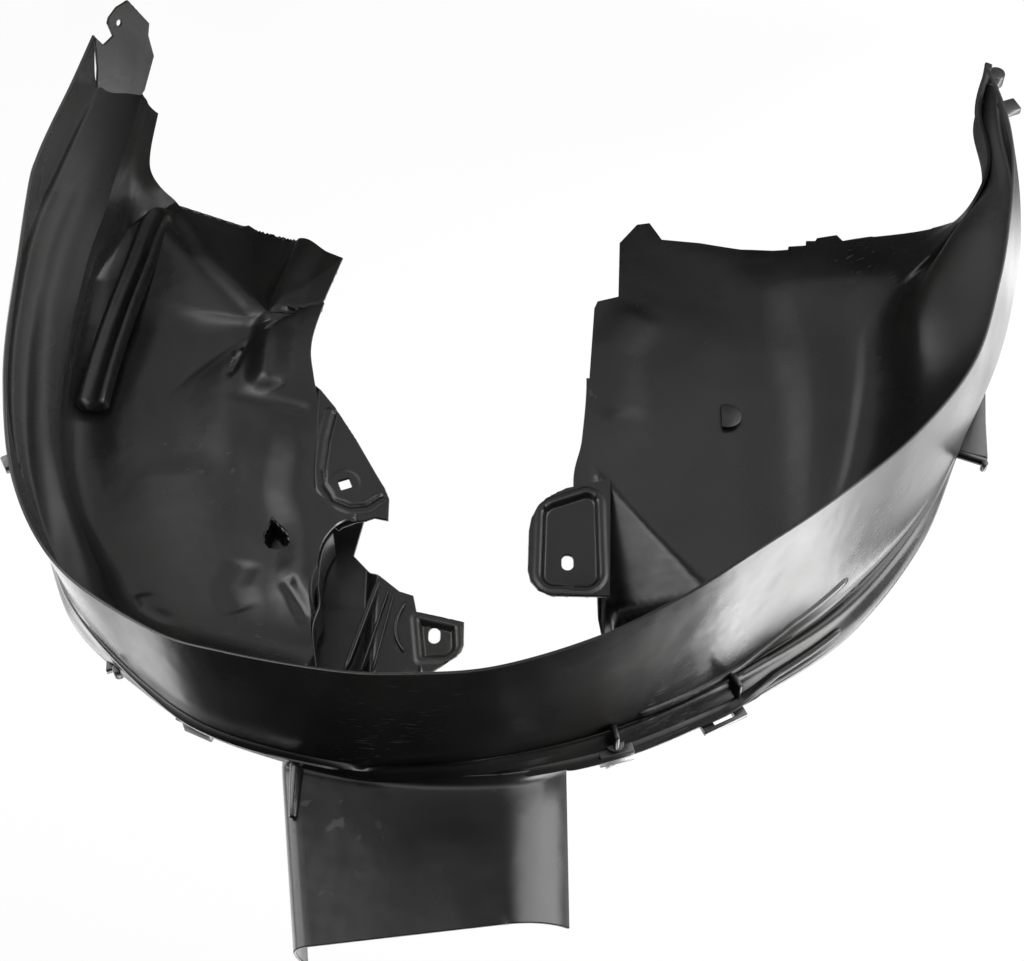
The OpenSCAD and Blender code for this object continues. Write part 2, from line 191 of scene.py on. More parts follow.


# Plastic
#
# The whole liner is one moulding in black polypropylene: satin, with the fine grain of the mould,
# flow streaks, dust in the surface and hairline scuffs from handling. Both leg ends are painted
# paler: a painted sheen that stands in for the light the tips catch.
def black_plastic(name):
    material = bpy.data.materials.new(name)
    material.use_nodes = True
    tree = material.node_tree
    shader = tree.nodes["Principled BSDF"]
    shader.inputs["IOR"].default_value = 1.5
    place = wired(tree, "ShaderNodeTexCoord", {}).outputs["Object"]

    def noise(scale, detail, rough=0.5, at=place):
        node = wired(tree, "ShaderNodeTexNoise", {"Scale": scale, "Detail": detail,
                                                  "Roughness": rough, "Vector": at})
        return node.outputs["Fac"]

    def ramp(source, low, high, at_low=0, at_high=1):
        node = wired(tree, "ShaderNodeMapRange", {"From Min": low, "From Max": high, "To Min": at_low,
                                                  "To Max": at_high, "Value": source})
        return node.outputs["Result"]

    def maths(operation, *values):
        node = wired(tree, "ShaderNodeMath", dict(enumerate(values)), operation=operation)
        return node.outputs[0]

    def tinted(amount, under, over):
        node = wired(tree, "ShaderNodeMix", {"Factor": amount, "A": under, "B": over}, data_type="RGBA")
        return node.outputs["Result"]

    clouds = noise(8, 4)
    tint = tinted(ramp(clouds, 0.35, 0.65), (0.0075, 0.0075, 0.0085, 1), (0.017, 0.0162, 0.0152, 1))
    split = wired(tree, "ShaderNodeSeparateXYZ", {"Vector": place})
    # Painted sheen: the base colour turns paler towards both leg ends, standing in for the light on the
    # tips.
    middle = float(to_frame([-50, 0, 0])[0])
    from_middle = maths("ABSOLUTE", maths("SUBTRACT", split.outputs["X"], middle))
    tone_with_painted_end_sheen = tinted(ramp(from_middle, 0.34, 0.385), tint, (0.052, 0.052, 0.051, 1))
    stretched = wired(tree, "ShaderNodeMapping", {"Rotation": (0.3, 0.5, 0.4), "Scale": (90, 1100, 90),
                                                  "Vector": place})
    hairs = noise(1, 1, at=stretched.outputs["Vector"])
    worn = maths("MULTIPLY", ramp(hairs, 0.66, 0.72), ramp(noise(6, 2), 0.55, 0.66))
    tree.links.new(tinted(worn, tone_with_painted_end_sheen, (0.05, 0.05, 0.05, 1)), shader.inputs["Base Color"])
    tree.links.new(maths("MULTIPLY_ADD", worn, 0.2, ramp(clouds, 0.3, 0.7, 0.22, 0.34)),
                   shader.inputs["Roughness"])
    fine = wired(tree, "ShaderNodeBump", {"Strength": 0.25, "Distance": 0.00006,
                                          "Height": noise(1700, 2, 0.6)})
    broad = wired(tree, "ShaderNodeBump", {"Strength": 0.6, "Distance": 0.0012, "Height": noise(28, 2),
                                           "Normal": fine.outputs["Normal"]})
    tree.links.new(broad.outputs["Normal"], shader.inputs["Normal"])
    return material


plastic = black_plastic("black_polypropylene_satin")


# Moulded sheet
#
# One even sheet is drawn over the mould: the band with its lip, the strip over the tyre's tread, and
# the two inner walls. Its sections stand across the arch, and each has eight rails.
WALL = 2.4
# lip, crest, step, tread, fold, root, middle and edge as (angle, radius, depth)
SECTIONS = [
    [(-114, 467, 28), (-114, 483, 55), (-114, 485, 60), (-115, 486, 65),
     (-116, 487, 72), (-116, 490, 79), (-117, 492, 85), (-117, 494, 92)],
    [(-108, 451, 16), (-109, 474, 68), (-110, 472, 74), (-111, 468, 80),
     (-112, 466, 88), (-113, 467, 95), (-113, 469, 102), (-114, 471, 109)],
    [(-102, 437, 6), (-104, 464, 75), (-104, 461, 84), (-105, 454, 92),
     (-106, 452, 103), (-107, 453, 112), (-107, 455, 120), (-107, 457, 128)],
    [(-96, 424, 0), (-98, 450, 76), (-98, 445, 86), (-99, 436, 95),
     (-100, 404, 112), (-103, 416, 140), (-106, 415, 165), (-109, 422, 184)],
    [(-89, 411, 0), (-91, 435, 76), (-91, 429, 87), (-91, 420, 98),
     (-92, 370, 122), (-97, 350, 174), (-108, 262, 186), (-143, 204, 184)],
    [(-80, 400, 0), (-80, 416, 76), (-80, 413, 88), (-80, 407, 98),
     (-80, 370, 140), (-84, 330, 182), (-92, 222, 188), (-116, 106, 184)],
    [(-68, 393, -3), (-68, 400, 76), (-68, 401, 90), (-68, 398, 102),
     (-68, 368, 146), (-68, 328, 184), (-70, 215, 190), (-80, 100, 184)],
    [(-55, 381, -12), (-55, 392, 76), (-55, 401, 90), (-55, 406, 103),
     (-55, 372, 148), (-55, 328, 184), (-52, 222, 190), (-50, 122, 184)],
    [(-42, 373, -20), (-42, 389, 76), (-42, 403, 90), (-42, 412, 104),
     (-42, 374, 148), (-42, 332, 182), (-38, 246, 186), (-33, 158, 184)],
    [(-31, 373, -20), (-31, 390, 76), (-31, 402, 90), (-31, 412, 104),
     (-31, 384, 140), (-31, 345, 172), (-28, 300, 182), (-24, 262, 184)],
    [(-23, 378, -14), (-23, 396, 77), (-23, 404, 90), (-23, 413, 104),
     (-23, 394, 125), (-23, 368, 142), (-23, 358, 150), (-22, 350, 156)],
    [(-14, 386, -8), (-14, 402, 78), (-14, 410, 90), (-14, 417, 104),
     (-14, 402, 118), (-14, 382, 128), (-14, 372, 132), (-14, 362, 134)],
    [(-4, 395, -3), (-4, 408, 78), (-4, 418, 90), (-4, 421, 103),
     (-4, 405, 118), (-4, 385, 128), (-4, 374, 132), (-4, 362, 134)],
    [(4, 398, 0), (4, 415, 78), (4, 422, 90), (4, 423, 103),
     (4, 405, 120), (4, 385, 130), (4, 374, 136), (4, 362, 140)],
    [(11, 400, 4), (11, 422, 79), (11, 424, 91), (11, 424, 104),
     (9, 408, 122), (7, 345, 202), (6, 291, 211), (8, 225, 212)],
    [(22, 402, 14), (22, 423, 80), (22, 424, 92), (22, 419, 106),
     (21, 392, 126), (20, 322, 200), (27, 245, 210), (26, 206, 212)],
    [(30, 404, 24), (30, 415, 84), (30, 416, 96), (30, 412, 110),
     (26, 388, 128), (21, 314, 166), (28, 245, 172), (29, 174, 178)],
    [(42, 402, 30), (42, 398, 88), (42, 401, 100), (42, 403, 114),
     (42, 375, 132), (42, 346, 172), (42, 250, 184), (42, 150, 184)],
    [(52, 388, 18), (52, 381, 95), (52, 381, 103), (52, 380, 112),
     (52, 356, 126), (52, 340, 180), (56, 238, 188), (62, 130, 184)],
    [(63, 360, 0), (64, 371, 82), (64, 368, 90), (64, 362, 98),
     (64, 340, 110), (64, 338, 184), (70, 234, 188), (84, 128, 184)],
    [(78, 336, 0), (78, 358, 75), (78, 353, 84), (78, 346, 92),
     (78, 322, 108), (78, 330, 186), (86, 228, 190), (104, 134, 184)],
    [(94, 332, 0), (94, 356, 75), (94, 349, 84), (94, 340, 92),
     (94, 312, 108), (98, 324, 188), (106, 172, 191), (137, 161, 186)],
    [(100, 334, 1), (100, 358, 75), (100, 351, 84), (100, 342, 92),
     (101, 314, 108), (106, 330, 184), (108, 184, 190), (133.5, 279, 228)],
    [(106, 337, 3), (107, 360, 75), (107, 354, 84), (107, 345, 92),
     (108, 318, 108), (115, 334, 176), (120, 325, 182), (125, 319, 186)],
    [(115, 348, 8), (116, 368, 72), (116, 363, 81), (117, 356, 90),
     (119, 338, 109), (121, 342, 138), (123, 343, 150), (125, 345, 158)],
    [(124, 370, 12), (124, 382, 66), (125, 381, 77), (126, 378, 88),
     (130, 374, 109), (131, 378, 128), (132, 382, 142), (133, 386, 154)],
]
STRAIGHT_SPANS = (9, 14, 15, 21, 22)
TREAD, FOLD, ROOT, EDGE = 3, 4, 5, 7
# The inner walls' plane and the deep panel's. The last three keep the sheet inside the solid's box.
WALL_PLANE, DEEP_PANEL = 184, 212
WIDEST, DEEPEST, DEEPEST_PATCH = 354.8, 226.5, 225
LAST = len(SECTIONS) - 1


def polar(angle, radius, depth):
    return [radius * math.sin(math.radians(angle)), depth, radius * math.cos(math.radians(angle))]


KNOTS = np.array([[polar(*p) for p in section] for section in SECTIONS])


def spline(a, b, c, d, t):
    return 0.5 * (2 * b + (c - a) * t + (2 * a - 5 * b + 4 * c - d) * t * t
                  + (3 * b - a - 3 * c + d) * t ** 3)


def rail(j, u):
    """Points of one rail at the places u, which count sections along the arch."""
    def straight(k):
        return j >= ROOT and k in STRAIGHT_SPANS
    points = np.zeros((len(u), 3))
    for k in range(LAST):
        chosen = (u >= k) & ((u < k + 1) | (k == LAST - 1))
        t = (u[chosen] - k)[:, None]
        a, b = KNOTS[k][j], KNOTS[k + 1][j]
        before = KNOTS[k - 1][j] if k > 0 and not straight(k - 1) else a
        after = KNOTS[k + 2][j] if k + 2 <= LAST and not straight(k + 1) else b
        points[chosen] = a + (b - a) * t if straight(k) else spline(before, a, b, after, t)
    return points


def smooth_path(points, count):
    """Evenly many points on a smooth curve through the given ones."""
    knots = np.array(points, float)
    knots = np.concatenate([[2 * knots[0] - knots[1]], knots, [2 * knots[-1] - knots[-2]]])
    found = []
    for t in np.linspace(0, len(points) - 1, count):
        k = min(int(t), len(points) - 2)
        found.append(spline(*knots[k:k + 4], t - k))
    return np.array(found)


def ease(t):
    t = np.clip(t, 0, 1)
    return t * t * (3 - 2 * t)


def bare_sheet(u, v):
    """The middle of the wall at every place of the two lists, before its relief."""
    rails = [rail(j, u) for j in range(EDGE + 1)]
    grid = np.zeros((len(u), len(v), 3))
    # On the rear leg the fold is a crisp ridge, so the rails run straight to it there.
    crisp = ease((u - 19.6) / 1.5)[:, None]
    for i, across in enumerate(v):
        j = min(int(across), EDGE - 1)
        t = across - j
        bent = spline(rails[max(j - 1, 0)], rails[j], rails[j + 1], rails[min(j + 2, EDGE)], t)
        near = crisp * (1 - ease((abs(across - FOLD) - 0.15) / 0.8))
        grid[:, i] = bent * (1 - near) + (rails[j] * (1 - t) + rails[j + 1] * t) * near
    # Beyond its crease the front lobe leans away from the wheel.
    x, z = grid[..., 0], grid[..., 2]
    run = np.array([-64.0, 81.0])
    lean = 0.3 * np.maximum(0, ((z - 132) * run[0] - (x + 121) * run[1]) / -np.hypot(*run))
    lean[(x > -104) | (x < -240)] = 0
    lean[:, v <= ROOT] = 0
    grid[..., 1] += lean
    return grid


def normals_of(grid):
    along = np.gradient(grid, axis=0)
    across = np.gradient(grid, axis=1)
    normal = np.cross(along, across)
    return normal / np.linalg.norm(normal, axis=-1, keepdims=True)


def off_path(x, y, path):
    """Distance of each place from a path, and how far along the path its foot is, from 0 to 1."""
    path = np.array(path, float)
    steps = np.hypot(*np.diff(path, axis=0).T)
    nearest = np.full(x.shape, 1e9)
    reached = np.zeros(x.shape)
    done = 0
    for (ax, ay), (bx, by), length in zip(path[:-1], path[1:], steps):
        t = np.clip(((x - ax) * (bx - ax) + (y - ay) * (by - ay)) / length ** 2, 0, 1)
        distance = np.hypot(x - ax - t * (bx - ax), y - ay - t * (by - ay))
        closer = distance < nearest
        nearest = np.where(closer, distance, nearest)
        reached = np.where(closer, (done + t * length) / steps.sum(), reached)
        done += length
    return nearest, reached


def inside(x, z, outline):
    result = np.zeros(np.shape(x), bool)
    for (ax, az), (bx, bz) in zip(outline, outline[1:] + outline[:1]):
        if az != bz:
            result ^= ((az > z) != (bz > z)) & (x < (bx - ax) * (z - az) / (bz - az) + ax)
    return result


def raised(distance, flat, reach):
    return 1 - ease((distance - flat) / (reach - flat))


def closed_wall(points, triangles, thick):
    """Gives an open sheet of triangles its wall, with a rounded rim along every free edge."""
    points = np.asarray(points, float)
    triangles = np.asarray(triangles, int)
    corner = points[triangles]
    facing = np.cross(corner[:, 1] - corner[:, 0], corner[:, 2] - corner[:, 0])
    normal = np.zeros_like(points)
    for k in range(3):
        np.add.at(normal, triangles[:, k], facing)
    normal /= np.maximum(np.linalg.norm(normal, axis=1, keepdims=True), 1e-12)
    count = len(points)
    edges = np.concatenate([triangles[:, [0, 1]], triangles[:, [1, 2]], triangles[:, [2, 0]]])
    code = edges[:, 0] * count + edges[:, 1]
    free = edges[~np.isin(code, edges[:, 1] * count + edges[:, 0])]
    outward = np.zeros_like(points)
    way = points[free[:, 1]] - points[free[:, 0]]
    side = np.cross(way, normal[free[:, 0]])
    side /= np.maximum(np.linalg.norm(side, axis=1, keepdims=True), 1e-12)
    for k in range(2):
        np.add.at(outward, free[:, k], side)
    rim = np.unique(free)
    outward[rim] /= np.maximum(np.linalg.norm(outward[rim], axis=1, keepdims=True), 1e-12)
    half = thick / 2
    place = np.full(count, -1)
    place[rim] = np.arange(len(rim))
    # The flat faces stop short of the free edge, and two more rings round it off.
    front, back = points + normal * half, points - normal * half
    front[rim] -= outward[rim] * half * 0.35
    back[rim] -= outward[rim] * half * 0.35
    upper = points[rim] + normal[rim] * half * 0.55
    lower = points[rim] - normal[rim] * half * 0.55
    vertices = np.concatenate([front, back, upper, lower])
    a, b = free[:, 0], free[:, 1]
    up_a, up_b = 2 * count + place[a], 2 * count + place[b]
    low_a, low_b = up_a + len(rim), up_b + len(rim)
    faces = [tuple(t) for t in triangles]
    faces += [tuple(t) for t in triangles[:, ::-1] + count]
    faces += list(zip(b, a, up_a, up_b))
    faces += list(zip(up_b, up_a, low_a, low_b))
    faces += list(zip(low_b, low_a, a + count, b + count))
    return vertices, faces


def make_piece(name, vertices, faces, sharp=40):
    mesh = bpy.data.meshes.new(name)
    mesh.from_pydata(to_frame(vertices).tolist(), [], [tuple(int(i) for i in f) for f in faces])
    mesh.validate()
    mesh.shade_smooth()
    mesh.set_sharp_from_angle(angle=math.radians(sharp))
    mesh.materials.append(plastic)
    piece = bpy.data.objects.new(name, mesh)
    scene.collection.objects.link(piece)
    return piece


def keep_piece(piece):
    """The piece moves with the liner and stands for its solid."""
    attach(piece, "root")
    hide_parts("wheel_arch_liner")


def lines_between(counts):
    return np.concatenate([k + np.arange(n) / n for k, n in enumerate(counts)] + [[len(counts)]])


def grid_piece(name, grid, turned_over=False):
    """The closed sheet on a grid of places, first along the arch and then across it."""
    rows, columns = grid.shape[:2]
    start = (np.arange(rows - 1)[:, None] * columns + np.arange(columns - 1)).ravel()
    triangles = np.concatenate([
        np.stack([start, start + columns, start + columns + 1], -1),
        np.stack([start, start + columns + 1, start + 1], -1)])
    if turned_over:
        triangles = triangles[:, ::-1]
    return make_piece(name, *closed_wall(grid.reshape(-1, 3), triangles, WALL))


def arch_lines(rail_number, spacing):
    lengths = np.linalg.norm(np.diff(KNOTS[:, rail_number], axis=0), axis=1)
    return lines_between([max(5, round(length / spacing(k))) for k, length in enumerate(lengths)])


# The strip, from the lip over the crown and down to the root of the walls
u_lines = arch_lines(TREAD, lambda k: 2.8 if 19 <= k < 23 else 4.4)
v_lines = np.append(lines_between([16, 12, 12, 10, 16]), 5.06)
strip = bare_sheet(u_lines, v_lines)
u_at, v_at = np.meshgrid(u_lines, v_lines, indexing="ij")

# Outside the crown the strip climbs in two steps: a ledge behind the crest, a riser, the tread and
# a second riser. To the rear the first step goes on alone.
STEP_PLACES = [1.0, 1.12, 1.42, 1.52, 1.64, 1.75, 2.0, 2.4, 2.62, 2.76, 2.9, 3.0]
STEP_RISES = [0.3, -0.4, -2.9, -2.0, 1.6, 1.7, -0.2, -2.8, -3.8, -1.0, 0.8, 0]
two_steps = np.interp(u_at, [7.7, 8.4, 9.6, 11.5, 12.5, 13.5], [0, 0.45, 1, 1, 0.7, 0])
one_step = np.interp(u_at, [12, 13.5, 15.5, 17], [0, 1, 1, 0])
relief = two_steps * np.interp(v_at, STEP_PLACES, STEP_RISES, 0, 0)
relief += one_step * np.interp(v_at, [0.8, 1.0, 1.5, 1.7, 2.3, 3], [0, -1.5, -3, 2.8, 2, 0])


# Long shallow folds that the mould leaves along the rear leg: one by the lip and one by the fold
LEG_STEP, LEG_RISE = 60, 30


def along_leg(path, depth, flat, reach):
    """Relief of one fold that follows the given (u, v) places, fading at both ends."""
    distance, reached = off_path(u_at * LEG_STEP, v_at * LEG_RISE,
                                 np.array(path) * (LEG_STEP, LEG_RISE))
    return depth * raised(distance, flat, reach) * ease(reached / 0.25) * ease((1 - reached) / 0.25)


relief += along_leg([(19.2, 0.5), (20.3, 0.35), (21.4, 0.75), (22.4, 1.3), (23.2, 2.2)], -2.5, 0, 26)
relief += along_leg([(17.6, 3.0), (18.6, 3.3), (19.6, 3.45), (20.4, 3.4), (20.9, 3.1)], -2, 0, 12)
strip += normals_of(strip) * relief[..., None]
strip[..., 0] = np.minimum(strip[..., 0], WIDEST)
strip_piece = grid_piece("moulded_strip", strip)
keep_piece(strip_piece)

# The inner walls, whose relief runs straight inboard: the duct's deep corner behind its crease, the
# ridge beside it, the pocket under the lip and the creases where the wall is drawn to the tabs
u_lines = arch_lines(ROOT, lambda k: 2.5 if k >= 16 else 4.2 if k < 9 else 4)
v_lines = np.concatenate([[4.94], 5 + np.arange(44) / 44, 6 + np.arange(41) / 40])
wall = bare_sheet(u_lines, v_lines)
x, y, z = wall[..., 0], wall[..., 1], wall[..., 2]
u_at, v_at = np.meshgrid(u_lines, v_lines, indexing="ij")


def pressed(path, depth, flat, reach, fade=0.2):
    distance, reached = off_path(x, z, path)
    ends = ease(reached / fade + 0.3) * ease((1 - reached) / fade + 0.3)
    return depth * raised(distance, flat, reach) * ends


def duct_ridge(x, z):
    """The soft ridge that runs down from the duct's right side, as a height toward the tyre."""
    distance, _ = off_path(x, z, [(140, -150), (150, -120), (158, -95), (166, -40), (166, 12)])
    return 7 * raised(distance, 0, 22) * ease((36 - z) / 16)


smooth = np.minimum(y, 191)
for _ in range(60):
    smooth[1:-1] = (smooth[:-2] + 2 * smooth[1:-1] + smooth[2:]) / 4
calm = ease((u_at - 18.5) / 1) * ease((23.6 - u_at) / 0.6) * ease((v_at - 5.1) / 0.4)
deeper = (smooth - y) * calm - duct_ridge(x, z) * (u_at > 16)
deeper -= pressed([(261, -183), (224, -120), (172, -57)], 4, 0, 16) * (u_at > 21)
deeper += pressed([(189, -24), (193, -8), (197, 9)], 2.6, 0.5, 5)
deeper += pressed([(196, 28), (171, 36), (148, 43), (128, 50)], 1, 0, 9)
deeper -= pressed([(246, 229), (240, 250), (222, 262)], 2, 0, 16)
deeper += pressed([(283, 215), (262, 236), (250, 250)], 2, 0, 20)
deeper -= pressed([(132, 70), (138, 125), (128, 160), (124, 200), (126, 240)], 3, 0, 26)
deeper += pressed([(168, 196), (176, 222), (166, 248)], 2, 0, 20)
deeper += pressed([(136, 218), (126, 236), (116, 256)], 2, 0, 9)
deeper += pressed([(228, -60), (236, 20), (226, 110)], 3, 0, 40)
deeper -= pressed([(-150, -60), (-122, -14), (-125, 60)], 3, 0, 30)
deeper -= pressed([(-248, -110), (-254, 40), (-248, 190)], 3, 0, 34)
deeper -= pressed([(-318, -80), (-316, 60), (-296, 170)], 3, 0, 34)


def beyond(a, b):
    """How far each place lies to the right of the line from a to b, seen from the tyre."""
    run, drop = b[0] - a[0], b[1] - a[1]
    return np.maximum(0, ((x - a[0]) * drop - (z - a[1]) * run) / math.hypot(run, drop))


front_side = x < -60
deeper += front_side * np.minimum(14, 0.26 * beyond((-121, 128), (-180, 215)) * ease((-100 - x) / 12))
deeper += front_side * np.clip(z - 224, 0, 14) * ease((x + 200) / 40) * ease((6 - v_at) * 3 + 2)
deeper -= front_side * 0.3 * beyond((-366, -63), (-355, -143)) * ease((-40 - z) / 20)
wall[..., 1] = np.minimum(DEEPEST, wall[..., 1] + deeper * ease((v_at - 5) / 0.15))
sheet_piece = grid_piece("moulded_walls", wall)


def as_drawn(points):
    return points


def drawn_out(name, outline, low, high, place=as_drawn):
    """A closed solid: an outline of (x, z) points, drawn from low to high in y and then placed."""
    count = len(outline)
    area = sum(a[0] * b[1] - a[1] * b[0] for a, b in zip(outline, outline[1:] + outline[:1]))
    order = outline if area > 0 else outline[::-1]
    local = [(x, low, z) for x, z in order] + [(x, high, z) for x, z in order]
    faces = [tuple(range(count)), tuple(range(2 * count - 1, count - 1, -1))]
    faces += [((i + 1) % count, i, i + count, (i + 1) % count + count) for i in range(count)]
    return make_piece(name, place(local), faces)


def apply_boolean(piece, tool, operation="DIFFERENCE"):
    modifier = piece.modifiers.new("join", "BOOLEAN")
    modifier.operation = operation
    modifier.solver = "MANIFOLD"
    modifier.object = tool
    evaluated = piece.evaluated_get(bpy.context.evaluated_depsgraph_get())
    mesh = bpy.data.meshes.new_from_object(evaluated)
    piece.modifiers.clear()
    piece.data = mesh
    mesh.shade_smooth()
    mesh.set_sharp_from_angle(angle=math.radians(40))
    bpy.data.objects.remove(tool)


# The front lobe's lower outline, with its small notches, is cut after moulding.
LOBE_OUTLINE = [(-401, -136), (-353, -144), (-326, -136), (-322, -145), (-304, -140), (-302, -136),
                (-294, -136), (-293, -130), (-278, -129), (-277, -125), (-264, -124), (-236, -126),
                (-201, -134), (-168, -138), (-158, -157), (-147, -155), (-131, -134), (-128, -73),
                (-110, -67), (-107, -59), (-101, 17), (-60, 10), (-60, -220), (-424, -220)]
apply_boolean(sheet_piece, drawn_out("lobe_cut", LOBE_OUTLINE, 164, 204))
# The duct's corner and the step behind the rear wall's free edge are moulded too deep for the grid
# above. They are cut out of it here and filled below.
DUCT = [(261, -183), (202, -192), (150, -150), (110, -118), (124, -66), (172, -57)]
DUCT_DEPTHS = [186, 228, 200, 186, 185.5, 190]
DUCT_CUT = [(262, -184), (240, -215), (90, -215), (90, -66), (124, -66), (172, -57)]
apply_boolean(sheet_piece, drawn_out("duct_cut", DUCT_CUT, 150, 250))
FREE_EDGE = [(x, z) for x, _, z in smooth_path(
    [(61, 0, 159), (71, 0, 155.5), (85, 0, 159), (100, 0, 166), (110, 0, 185), (112, 0, 213),
     (110, 0, 235), (114, 0, 256), (109, 0, 292)], 60)]
STEP_CUT = FREE_EDGE + [(60, 296), (36, 292), (-12, 290), (-12, 200), (40, 165)]
apply_boolean(sheet_piece, drawn_out("step_cut", STEP_CUT, 165, 240))
TEARDROP = [(152, 153), (157.5, 170), (157, 178), (152, 185), (144, 187.5), (137, 185.5), (135, 181),
            (139, 169)]
apply_boolean(sheet_piece, drawn_out("teardrop_cut", TEARDROP, 165, 215))


# Screw tabs
#
# Three flat tabs grow out of the inner walls' free edges: a dished pad with a slotted hole on the
# front lobe, one more on the deep rear panel, and a wing with a square hole for a grommet. The deep
# forms that were cut out of the walls are filled here in the same sheet.
def sampled(outline, step):
    points = []
    for (ax, az), (bx, bz) in zip(outline, outline[1:] + outline[:1]):
        count = max(1, round(math.hypot(bx - ax, bz - az) / step))
        points += [(ax + (bx - ax) * i / count, az + (bz - az) * i / count) for i in range(count)]
    return points


def arc(x, z, r, start, end, steps=8):
    turns = [math.radians(start + (end - start) * i / steps) for i in range(steps + 1)]
    return [(x + r * math.cos(turn), z + r * math.sin(turn)) for turn in turns]


def flat_patch(outline, holes, step):
    """Triangles that fill an outline of (x, z) points and leave its holes open."""
    loops = [sampled(loop, step) for loop in [outline] + holes]
    points = [p for loop in loops for p in loop]
    edges = []
    for loop in loops:
        first = len(edges)
        edges += [(first + i, first + (i + 1) % len(loop)) for i in range(len(loop))]
    low, high = np.min(points, axis=0), np.max(points, axis=0)
    gx, gz = np.meshgrid(np.arange(low[0], high[0], step), np.arange(low[1], high[1], step * 0.87),
                         indexing="ij")
    gx = gx + (np.arange(gx.shape[1]) % 2) * step / 2
    keep = inside(gx, gz, outline)
    for loop in loops:
        keep &= off_path(gx, gz, loop + loop[:1])[0] > step * 0.55
    for hole in holes:
        keep &= ~inside(gx, gz, hole)
    points += list(zip(gx[keep], gz[keep]))
    found, _, triangles, *_ = delaunay_2d_cdt([Vector(p) for p in points], edges, [], 0, 1e-5)
    found = np.array([(p.x, p.y) for p in found])
    triangles = np.array(triangles)
    middle = found[triangles].mean(axis=1)
    keep = inside(middle[:, 0], middle[:, 1], outline)
    for hole in holes:
        keep &= ~inside(middle[:, 0], middle[:, 1], hole)
    return found, triangles[keep]


def slot_outline(x, z, width, length):
    reach = (length - width) / 2
    return arc(x, z + reach, width / 2, 0, 180) + arc(x, z - reach, width / 2, 180, 360)


def tab_piece(name, outline, holes, depth_at, thick=3.0, step=2.0):
    found, triangles = flat_patch(outline, holes, step)
    points = np.stack([found[:, 0], depth_at(found[:, 0], found[:, 1]), found[:, 1]], -1)
    piece = make_piece(name, *closed_wall(points, triangles, thick))
    keep_piece(piece)
    return piece


def duct_corner(x, z):
    """Facets through the duct's corners. Behind the crease they lie a step deeper."""
    values = np.full(np.shape(x), 190.0)
    for corners in ((0, 1, 5), (1, 2, 5), (2, 3, 5), (3, 4, 5)):
        (ax, az), (bx, bz), (cx, cz) = [DUCT[k] for k in corners]
        ya, yb, yc = [DUCT_DEPTHS[k] for k in corners]
        area = (bx - ax) * (cz - az) - (cx - ax) * (bz - az)
        s = ((x - ax) * (cz - az) - (cx - ax) * (z - az)) / area
        t = ((bx - ax) * (z - az) - (x - ax) * (bz - az)) / area
        here = (s >= -0.01) & (t >= -0.01) & (s + t <= 1.01)
        values = np.where(here, ya + s * (yb - ya) + t * (yc - ya), values)
    fold, along = off_path(x, z, [DUCT[2], DUCT[5]])
    corner = inside(x, z, [(265, -179), DUCT[1], DUCT[2], (175, -52)])
    step = corner * 9 * ease(fold / 4) * (0.25 + 0.75 * along)
    return np.minimum(DEEPEST_PATCH, values + step - duct_ridge(x, z))


DUCT_PATCH = [(264, -180), (202, -192), (150, -150), (110, -118), (126, -61), (172, -52), (176, -54)]
tab_piece("duct_corner", DUCT_PATCH, [], duct_corner, WALL)


def ruled_edge(name, path, near, far):
    """A narrow wall along a path of (x, z) points, from one depth to another."""
    depths = np.linspace(near, far, 8)
    keep_piece(grid_piece(name, np.array([[(x, y, z) for y in depths] for x, z in path])))


ruled_edge("rear_step_edge", [(x + 0.6, z - 0.6) for x, z in FREE_EDGE[24:]], 184, 216)


def pocket_depth(x, z):
    from_rim, _ = off_path(x, z, TEARDROP + TEARDROP[:1])
    return WALL_PLANE + 2.5 + 16 * ease(from_rim / 3) * inside(x, z, TEARDROP)


POCKET = [(152, 151), (159, 170), (158.5, 179), (153, 187), (144, 189.5), (136, 187), (133.5, 181),
          (138, 168)]
tab_piece("teardrop_pocket", POCKET, [], pocket_depth, WALL, 1.2)

FRONT_TAB = [(-116, 118), (-92, 124), (-80, 127), (-68, 134), (-58, 144), (-52, 156), (-50, 168),
             (-49, 204), (-51, 214), (-57, 222), (-67, 227), (-112, 228)]
FRONT_DISH = (arc(-95, 142, 11, 180, 270) + arc(-74, 154, 14, -70, -10)
              + arc(-70, 208, 12, 0, 90) + arc(-93, 208, 13, 90, 180))


def dished(x, z, dish, lip):
    """Depth of a dish of the given outline, behind a lip that stands up round it."""
    distance, _ = off_path(x, z, dish + dish[:1])
    signed = np.where(inside(x, z, dish), -distance, distance)
    return 3.5 * (1 - ease((signed + 4) / 4)) - lip * raised(np.abs(signed - 1.5), 0.8, 3)


def front_tab_depth(x, z):
    return WALL_PLANE + dished(x, z, FRONT_DISH, 1.2)


FRONT_SLOT = slot_outline(-80, 195, 9, 14)
tab_piece("front_tab", FRONT_TAB, [FRONT_SLOT], front_tab_depth)
apply_boolean(sheet_piece, drawn_out("front_dish_cut", FRONT_DISH, 170, 198))

WING = [(125, 22), (108, 46), (88, 81), (70, 116), (64, 127), (60, 138), (60, 158), (71, 155.5),
        (78, 158.5), (85, 159.5), (99, 166), (112, 152), (122, 130), (124, 100), (125, 60)]
WING_GROOVE = [(108, 52), (112, 79), (114, 109), (112, 124), (104, 138), (91, 144.5), (78, 143),
               (68, 135)]
WING_RIM = [(113, 50), (117.5, 79), (119.5, 110), (117, 127), (107, 142.5), (91, 149.5), (76, 148),
            (65, 139)]


def turned_square(x, z, side, turn):
    c, s = math.cos(math.radians(turn)) * side / 2, math.sin(math.radians(turn)) * side / 2
    return [(x + c * p - s * q, z + s * p + c * q) for p, q in ((1, 1), (-1, 1), (-1, -1), (1, -1))]


